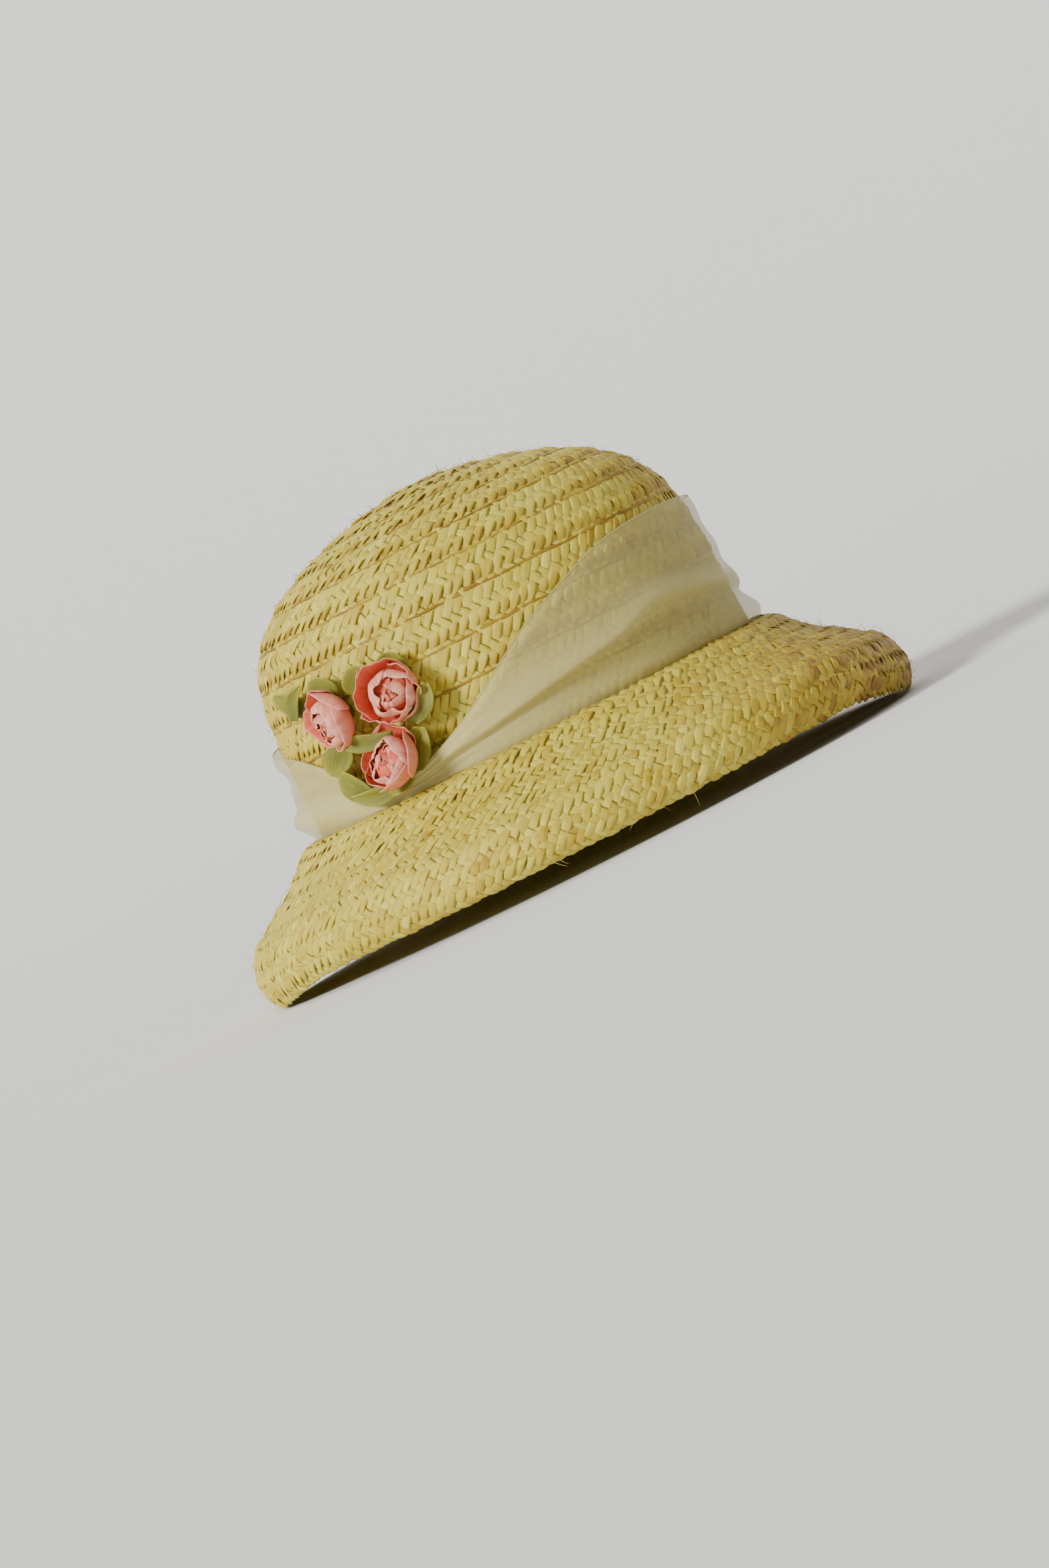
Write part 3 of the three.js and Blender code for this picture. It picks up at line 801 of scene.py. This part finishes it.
def rose_place(rose):
    """The rose's origin, and a matrix that turns its own axes into the hat's."""
    point, out = seat_on_crown(*np.array(rose["at"], float))
    basis = np.stack([[-out[1], out[0], 0], [0, 0, 1], out], -1)
    forward, upward = np.radians(rose["lean"])
    c, s = np.cos(upward), np.sin(upward)
    tip = np.array([[1, 0, 0], [0, c, s], [0, -s, c]])
    c, s = np.cos(forward), np.sin(forward)
    turn = np.array([[c, 0, s], [0, 1, 0], [-s, 0, c]])
    return point + out * (STRAW_RIDGE + rose["stem"]), basis @ tip @ turn


for name, rose in ROSES.items():
    print(name, "rose sits at", rose_place(rose)[0].round(1), "mm")

# %% [markdown]
# A petal is a thin skin: a front layer, a back layer and the edge between them. A Solidify modifier gives
# the same, but here the two layers need their own colours, pale outside and deep red in the cup. That deep
# red is partly dye and partly painted shade. The helpers below make a skin from any grid of points, and a
# curve to bend it by.

# %% Thin skins
def shell(grid, wall):
    across, along = grid.shape[:2]
    du, dv = np.gradient(grid, axis=0), np.gradient(grid, axis=1)
    normal = np.cross(du, dv)
    normal = normal / np.maximum(np.linalg.norm(normal, axis=-1, keepdims=True), 1e-9)
    layers = [(grid + normal * wall / 2).reshape(-1, 3), (grid - normal * wall / 2).reshape(-1, 3)]
    index = np.arange(across * along).reshape(across, along)
    front = grid_faces(across, along, False, False)
    back = front[:, [0, 3, 2, 1]] + across * along
    border = np.concatenate([index[:, 0], index[-1, 1:], index[-2::-1, -1], index[0, -2:0:-1]])
    following = np.roll(border, -1)
    rim = np.stack([following, border, border + across * along, following + across * along], -1)
    return np.concatenate(layers), np.concatenate([front, back, rim])


def bezier(ends, t):
    p = np.array(ends, float)
    return p[0] * (1 - t) ** 3 + 3 * p[1] * t * (1 - t) ** 2 + 3 * p[2] * t**2 * (1 - t) + p[3] * t**3


print("the skin of a 2 by 2 grid has", len(shell(np.zeros((2, 2, 3)), 1)[1]), "faces")

# %% [markdown]
# A rose is built ring by ring, as its maker winds it. Each ring has a side curve from the foot to the rim,
# the four points of a Bezier curve in shares of the rose's radius. The last ring is a low filler that closes
# the cup. Inside and outside give the colour at foot, middle and rim: 0 is the palest pink and 1 the deep
# red in the cup. The deep red at the foot inside the cup is partly dye and partly painted shade.

# %% Petal rings
# The inside values are highest at the foot: deep red that is partly dye and partly painted shade in the cup.
PETAL_RINGS = [
    {"count": 5, "side": [(0.2, 0), (0.9, 0), (1.08, 0.45), (0.95, 0.8)], "overlap": 1.5, "turn": 0,
     "inside": (1.0, 0.75, 0.5), "outside": (0.55, 0.42, 0.35), "wave": 0.03},
    {"count": 4, "side": [(0.2, 0.1), (0.88, 0.25), (0.92, 0.8), (0.5, 0.97)], "overlap": 1.5, "turn": 36,
     "inside": (1.0, 0.85, 0.6), "outside": (0.65, 0.3, 0.22), "wave": 0.025},
    {"count": 3, "side": [(0.15, 0.25), (0.6, 0.4), (0.62, 0.92), (0.2, 1.0)], "overlap": 1.45, "turn": 10,
     "inside": (1.0, 0.9, 0.7), "outside": (0.75, 0.35, 0.3), "wave": 0.02},
    {"count": 3, "side": [(0.05, 0.5), (0.3, 0.6), (0.26, 0.98), (0.03, 1.02)], "overlap": 1.5, "turn": 50,
     "inside": (0.9, 0.8, 0.7), "outside": (0.8, 0.62, 0.55), "wave": 0.01},
    {"count": 3, "side": [(0.75, 0.2), (0.8, 0.64), (0.5, 0.86), (0.02, 0.91)], "overlap": 1.2, "turn": 0,
     "inside": (0.8, 0.8, 0.8), "outside": (0.66, 0.66, 0.66), "wave": 0},
]
print(sum(ring["count"] for ring in PETAL_RINGS), "petals in a rose")

# %% [markdown]
# No two petals are alike, because they were cut and creased by hand. Each petal's grid runs across, u, and
# from foot to rim, v. Wide soft creases and fine crinkles are sums of waves with seeded directions. The
# outer petals lean away on the rose's open side, and the heart of the rose is pushed to the other side.

# %% One petal
PETAL = {
    "wall": 0.28, "across": 31, "along": 22, "notch": 0.16, "notch_power": 2.5, "longest": 1.05, "tuck": 0.1,
    "narrow_foot": 0.85, "edge_waves": 1.6, "wave_shift": 3, "wave_lift": 0.6,
    "uneven_reach": 0.04, "uneven_height": 0.09, "uneven_turn": 6,
    "rim_from": 0.86, "edge_from": 0.88, "rim_pale": 0.35, "blush_middle": 0.55,
}
CREASES = [
    {"count": 4, "waves": (6, 5), "size": 0.028, "power": 1},
    {"count": 4, "waves": (17, 9), "size": 0.014, "power": 2},
]
OPEN = {"flare": 0.2, "drop": 0.5, "push": 0.15}
GRAIN_SPREAD = 40


def creases(u, v):
    total = np.zeros((PETAL["across"], PETAL["along"]))
    for crease in CREASES:
        for _ in range(crease["count"]):
            waves = rng.uniform(-1, 1, 2) * crease["waves"]
            size = crease["size"] * v ** crease["power"]
            total += size * np.sin(waves[0] * u + waves[1] * v + rng.uniform(*PHASE))
    return total


def petal(rose, ring, index):
    u = np.linspace(-1, 1, PETAL["across"])[:, None]
    v = np.linspace(0, 1, PETAL["along"])[None, :]
    uneven = rng.uniform(-1, 1, 4)
    notched = 1 - PETAL["notch"] * np.abs(u) ** PETAL["notch_power"]
    reach = v * notched * (1 + PETAL["uneven_reach"] * uneven[0])
    side = bezier(ring["side"], np.clip(reach, 0, PETAL["longest"])[..., None])
    rim = PETAL["edge_waves"] * np.pi * u + PETAL["wave_shift"] * uneven[1]
    wave = ring["wave"] * v**2 * np.sin(rim) + creases(u, v)
    belly = PETAL["narrow_foot"] + (1 - PETAL["narrow_foot"]) * np.sin(np.pi * v)
    span = np.pi / ring["count"] * ring["overlap"] * belly
    middle = np.radians(ring["turn"] + rose["turn"] + PETAL["uneven_turn"] * uneven[3])
    angle = middle + 2 * np.pi * index / ring["count"] + u * span
    opening = np.radians(rose["open"])
    outer = ring is PETAL_RINGS[0]
    flare = OPEN["flare"] * v**2 * np.clip(np.cos(angle - opening), 0, 1) if outer else 0
    push = 0 if outer else OPEN["push"] * v * rose["radius"]
    radius = rose["radius"] * (side[..., 0] * (1 - PETAL["tuck"] * (u + 1) / 2) + wave + flare)
    rise = PETAL["uneven_height"] * uneven[2] * v
    height = rose["radius"] * (side[..., 1] + rise + PETAL["wave_lift"] * wave - OPEN["drop"] * flare)
    x = radius * np.cos(angle) - push * np.cos(opening)
    y = radius * np.sin(angle) - push * np.sin(opening)
    points, faces = shell(np.stack([x, y, height], -1), PETAL["wall"])
    return points, faces, petal_blush(ring, u, v), petal_grain(rose, u, v)


def petal_blush(ring, u, v):
    """Colour of the outside layer, then the inside layer: dye, with painted shade deep in the cup, paler at
    rim and edges.
    """
    pale = np.maximum(smoothstep(v, PETAL["rim_from"], 1), smoothstep(np.abs(u), PETAL["edge_from"], 1))
    layers = []
    for rows in (ring["outside"], ring["inside"]):
        blush = np.interp(np.broadcast_to(v, pale.shape), [0, PETAL["blush_middle"], 1], rows)
        layers.append((blush * (1 - PETAL["rim_pale"] * pale)).ravel())
    return np.concatenate(layers)


def petal_grain(rose, u, v):
    """Places in millimetres on the petal for its veins, apart from those of every other petal."""
    place = GRAIN_SPREAD * rng.random()
    grain = stacked(u * rose["radius"], v * rose["radius"], place)
    return np.concatenate([grain.reshape(-1, 3)] * 2)


print("points in a petal:", 2 * PETAL["across"] * PETAL["along"])

# %% [markdown]
# The petals are silk and the leaves cotton, both stiffened, dyed with a brush and pressed with a hot iron.
# To the eye they are matt, with veins and uneven dye from foot to rim. On the petals the deep red in the cup
# is partly painted shade. One function makes both, because only colours and sizes differ. Veins are 1.5 mm
# by 7 mm on a petal and 0.8 mm by 6 mm on a leaf, and the weave is far too fine to draw. Silk and cotton
# have an IOR near 1.54.

# %% Dyed cloth
# The deep red end of the petal colours is partly dye and partly painted shade in the cup.
PETAL_DYE_AND_SHADE = [(0.0, "#F3BCA6"), (0.35, "#EE8F74"), (0.65, "#E06848"), (1.0, "#B93420")]
LEAF_DYE = [(0.0, "#3F4206"), (0.4, "#696A08"), (0.7, "#8B8719"), (1.0, "#B7AF4C")]


def cloth_material(name, value, dye, vein_size):
    material, tree = new_material(name)
    tone = add(tree, "ShaderNodeAttribute", attribute_name=value).outputs["Fac"]
    grain = add(tree, "ShaderNodeAttribute", attribute_name="grain").outputs["Vector"]
    stretched = add(tree, "ShaderNodeVectorMath", {0: grain, 1: vein_size}, operation="MULTIPLY")
    vein = add(tree, "ShaderNodeTexNoise", {"Vector": stretched.outputs[0], "Scale": 1.0, "Detail": 3.0})
    uneven = add(tree, "ShaderNodeMapRange", {"Value": vein.outputs["Fac"], "To Min": -0.22, "To Max": 0.22})
    shade = add(tree, "ShaderNodeMath", {0: tone, 1: uneven.outputs[0]}, operation="ADD", use_clamp=True)
    colour = add(tree, "ShaderNodeValToRGB", {"Fac": shade.outputs[0]}, dye)
    bump = add(tree, "ShaderNodeBump", {"Height": vein.outputs["Fac"], "Strength": 0.5, "Distance": 0.0008})
    look = {"Base Color": colour.outputs[0], "Roughness": 0.65, "IOR": 1.54, "Normal": bump.outputs[0]}
    skin = add(tree, "ShaderNodeBsdfPrincipled", look)
    add(tree, "ShaderNodeOutputMaterial", {"Surface": skin.outputs[0]})
    return material


petal_cloth = cloth_material("dyed_petal_silk", "blush", PETAL_DYE_AND_SHADE, repeats(1.5, 7))
leaf_cloth = cloth_material("dyed_leaf_cotton", "fade", LEAF_DYE, repeats(0.8, 6))
print("cloth materials:", petal_cloth.name, "and", leaf_cloth.name)

# %% [markdown]
# The three roses are wound petal by petal and set on the crown. Each becomes one mesh, because its petals
# are sewn together and never part, and it stands for its solid in the frame.

# %% Roses
for name, rose in ROSES.items():
    parts = [petal(rose, ring, i) for ring in PETAL_RINGS for i in range(ring["count"])]
    points, faces, blush, grain = joined(parts)
    origin, basis = rose_place(rose)
    piece(
        "silk_rose_" + name, origin + points @ basis.T, faces, petal_cloth, "petal_cloth", "rose_" + name,
        blush=blush, grain=grain,
    )

# %% [markdown]
# Leaves and sepals lie round the roses. They could be modelled flat and bent with a modifier, but it is
# simpler to lay them out on the side of the crown and let each point take its own place off the straw. A
# row gives where a leaf starts and ends, forward and up, its width, how far it bows sideways, and how far
# each end stands off.

# %% Leaf rows
LEAVES = {
    "calyx_front": [
        ((-41, 26.5), (-29.5, 39), 9, -1.5, (8, 9)),
        ((-49, 26), (-69.5, 36), 7.5, 3, (10, 11)),
        ((-41, 46), (-39.5, 57), 13, 0, (2, 5)),
        ((-53, 45), (-54.5, 58), 14, 0, (2, 5)),
    ],
    "calyx_back": [
        ((-71, 32), (-79, 21), 12, 0, (4, 5)),
        ((-84, 49), (-75.5, 61), 6, 2, (4, 5)),
        ((-68, 48), (-69.5, 61), 12, 0, (2, 5)),
    ],
    "calyx_low": [
        ((-49, 9), (-39.5, 24), 13, 1.0, (6, 7)),
        ((-68, 5), (-75, 21), 9, 1.0, (7, 7)),
        ((-54, 8.5), (-74.5, 9.5), 8, 3, (8, 8)),
        ((-49, 12), (-60, 4), 7, 1.5, (9, 9)),
    ],
    "leaf_back": [((-79, 49), (-89.5, 62), 8, 0, (1.6, 1.4))],
}
print(sum(len(rows) for rows in LEAVES.values()), "leaves")

# %% [markdown]
# A leaf is a cupped blade, creased along the middle, wavy, and faded towards its tip and edges. It is a
# thin skin like a petal, bent by sums of simple curves. Under each rose a short stem, the receptacle, goes
# down to the straw and carries the petals.

# %% Leaves
LEAF = {
    "wall": 0.5, "across": 11, "along": 18, "cup": 0.8, "wavy": 0.3, "waves": (7, 3),
    "tip": 0.12, "from": 0.1, "span": 0.86, "fullness": 0.8,
}
FADE = {"heart": 0.35, "tip": 0.35, "edge": 0.25}
STEM = {"radius": 0.34, "taper": 0.06, "into_rose": 0.4, "fade": 0.2, "around": 13, "down": 4}


def leaf(start, end, width, bow, ends_stand):
    u = np.linspace(-1, 1, LEAF["across"])[:, None]
    v = np.linspace(0, 1, LEAF["along"])[None, :]
    run = np.subtract(end, start)
    sideways = np.array([-run[1], run[0]]) / np.hypot(*run)
    blade = np.sin(np.pi * (LEAF["from"] + LEAF["span"] * v)) ** LEAF["fullness"]
    half = width / 2 * (LEAF["tip"] + (1 - LEAF["tip"]) * blade)
    shift = u * half + bow * 4 * v * (1 - v)
    forward = start[0] + run[0] * v + sideways[0] * shift
    height = start[1] + run[1] * v + sideways[1] * shift
    base, out = seat_on_crown(forward, height)
    stand = STRAW_RIDGE + ends_stand[0] * (1 - v) + ends_stand[1] * v
    wavy = LEAF["wavy"] * np.sin(LEAF["waves"][0] * v + LEAF["waves"][1] * u)
    off = stand + LEAF["cup"] * (np.abs(u) - 0.5) + wavy
    points, faces = shell(base + out * off[..., None], LEAF["wall"])
    fade = FADE["heart"] + FADE["tip"] * v**2 + FADE["edge"] * np.abs(u) ** 3
    grain = stacked(u * half, v * np.hypot(*run), GRAIN_SPREAD * rng.random())
    return points, faces, np.concatenate([fade.ravel()] * 2), np.concatenate([grain.reshape(-1, 3)] * 2)


def stem(rose):
    origin, basis = rose_place(rose)
    angle = np.linspace(0, 2 * np.pi, STEM["around"])[:, None]
    v = np.linspace(0, 1, STEM["down"])[None, :]
    radius = rose["radius"] * (STEM["radius"] - STEM["taper"] * v)
    depth = STEM["into_rose"] - rose["stem"] * v
    tube = stacked(radius * np.cos(angle), radius * np.sin(angle), depth)
    points, faces = shell(origin + tube @ basis.T, LEAF["wall"])
    return points, faces, np.full(len(points), STEM["fade"]), points


for node, rows in LEAVES.items():
    name = node.split("_")[1]
    parts = [leaf(*row) for row in rows]
    if node.startswith("calyx"):
        parts.append(stem(ROSES[name]))
    points, faces, fade, grain = joined(parts)
    piece_name = "cotton_leaf" if node == "leaf_back" else "cotton_leaves_" + name
    piece(piece_name, points, faces, leaf_cloth, "leaf_cloth", node, fade=fade, grain=grain)

# %% [markdown]
# The hat stands on a sweep of matt paper that curves up behind it. Paper that was pressed but not glazed
# has no gloss, so to the eye it is one even, pale tone. A flat floor and a wall would leave a corner in the
# picture. The sweep's sizes are in metres, large enough for views from any side.

# %% Paper sweep
SWEEP = {"front": -30.0, "back": 1.2, "radius": 3.0, "height": 12.0, "half_width": 30.0, "steps": 33}

pale_paper, tree = new_material("pale_paper")
paper = add(tree, "ShaderNodeBsdfDiffuse", {"Color": linear("#F3F2EF")})
add(tree, "ShaderNodeOutputMaterial", {"Surface": paper.outputs[0]})

bend = np.linspace(0, np.pi / 2, SWEEP["steps"])
wall_y = SWEEP["back"] + SWEEP["radius"]
sweep_y = np.concatenate([[SWEEP["front"]], SWEEP["back"] + SWEEP["radius"] * np.sin(bend), [wall_y]])
sweep_z = np.concatenate([[0], SWEEP["radius"] * (1 - np.cos(bend)), [SWEEP["height"]]])
edges = [[(x, y, z) for x in (-SWEEP["half_width"], SWEEP["half_width"])] for y, z in zip(sweep_y, sweep_z)]
sweep_mesh = bpy.data.meshes.new("studio_sweep")
sweep_mesh.from_pydata(
    [p for edge in edges for p in edge],
    [],
    [(2 * i, 2 * i + 1, 2 * i + 3, 2 * i + 2) for i in range(len(edges) - 1)],
)
sweep_mesh.shade_smooth()
sweep_mesh.materials.append(pale_paper)
sweep = bpy.data.objects.new("studio_sweep", sweep_mesh)
bpy.context.scene.collection.objects.link(sweep)
print("sweep of", len(sweep_mesh.polygons), "faces")

# %% [markdown]
# The photograph's light comes from the upper left, in front of the hat, and leaves the wearer's front in
# shade. One broad sun does that, with a second faint one from above and an even room to fill the shadows.
# Area lights would do too, but a sun lights hat and paper evenly, so the background stays plain.

# %% Light
LIGHTS = {
    "key_light": {"toward": (-0.92, -0.72, 0.6), "strength": 3.95, "spread": 18},
    "top_light": {"toward": (-0.1, -0.1, 1.0), "strength": 0.4, "spread": 70},
}
ROOM = {"colour": "#F4F4F2", "strength": 0.3}

for name, row in LIGHTS.items():
    sun = bpy.data.lights.new(name, "SUN")
    sun.energy = row["strength"]
    sun.angle = math.radians(row["spread"])
    holder = bpy.data.objects.new(name, sun)
    holder.rotation_euler = Vector(row["toward"]).to_track_quat("Z", "Y").to_euler()
    bpy.context.scene.collection.objects.link(holder)
    print(name, "of strength", sun.energy)

world = bpy.data.worlds.new("soft_room")
world.use_nodes = True
background = world.node_tree.nodes["Background"]
background.inputs["Color"].default_value = linear(ROOM["colour"])
background.inputs["Strength"].default_value = ROOM["strength"]
bpy.context.scene.world = world
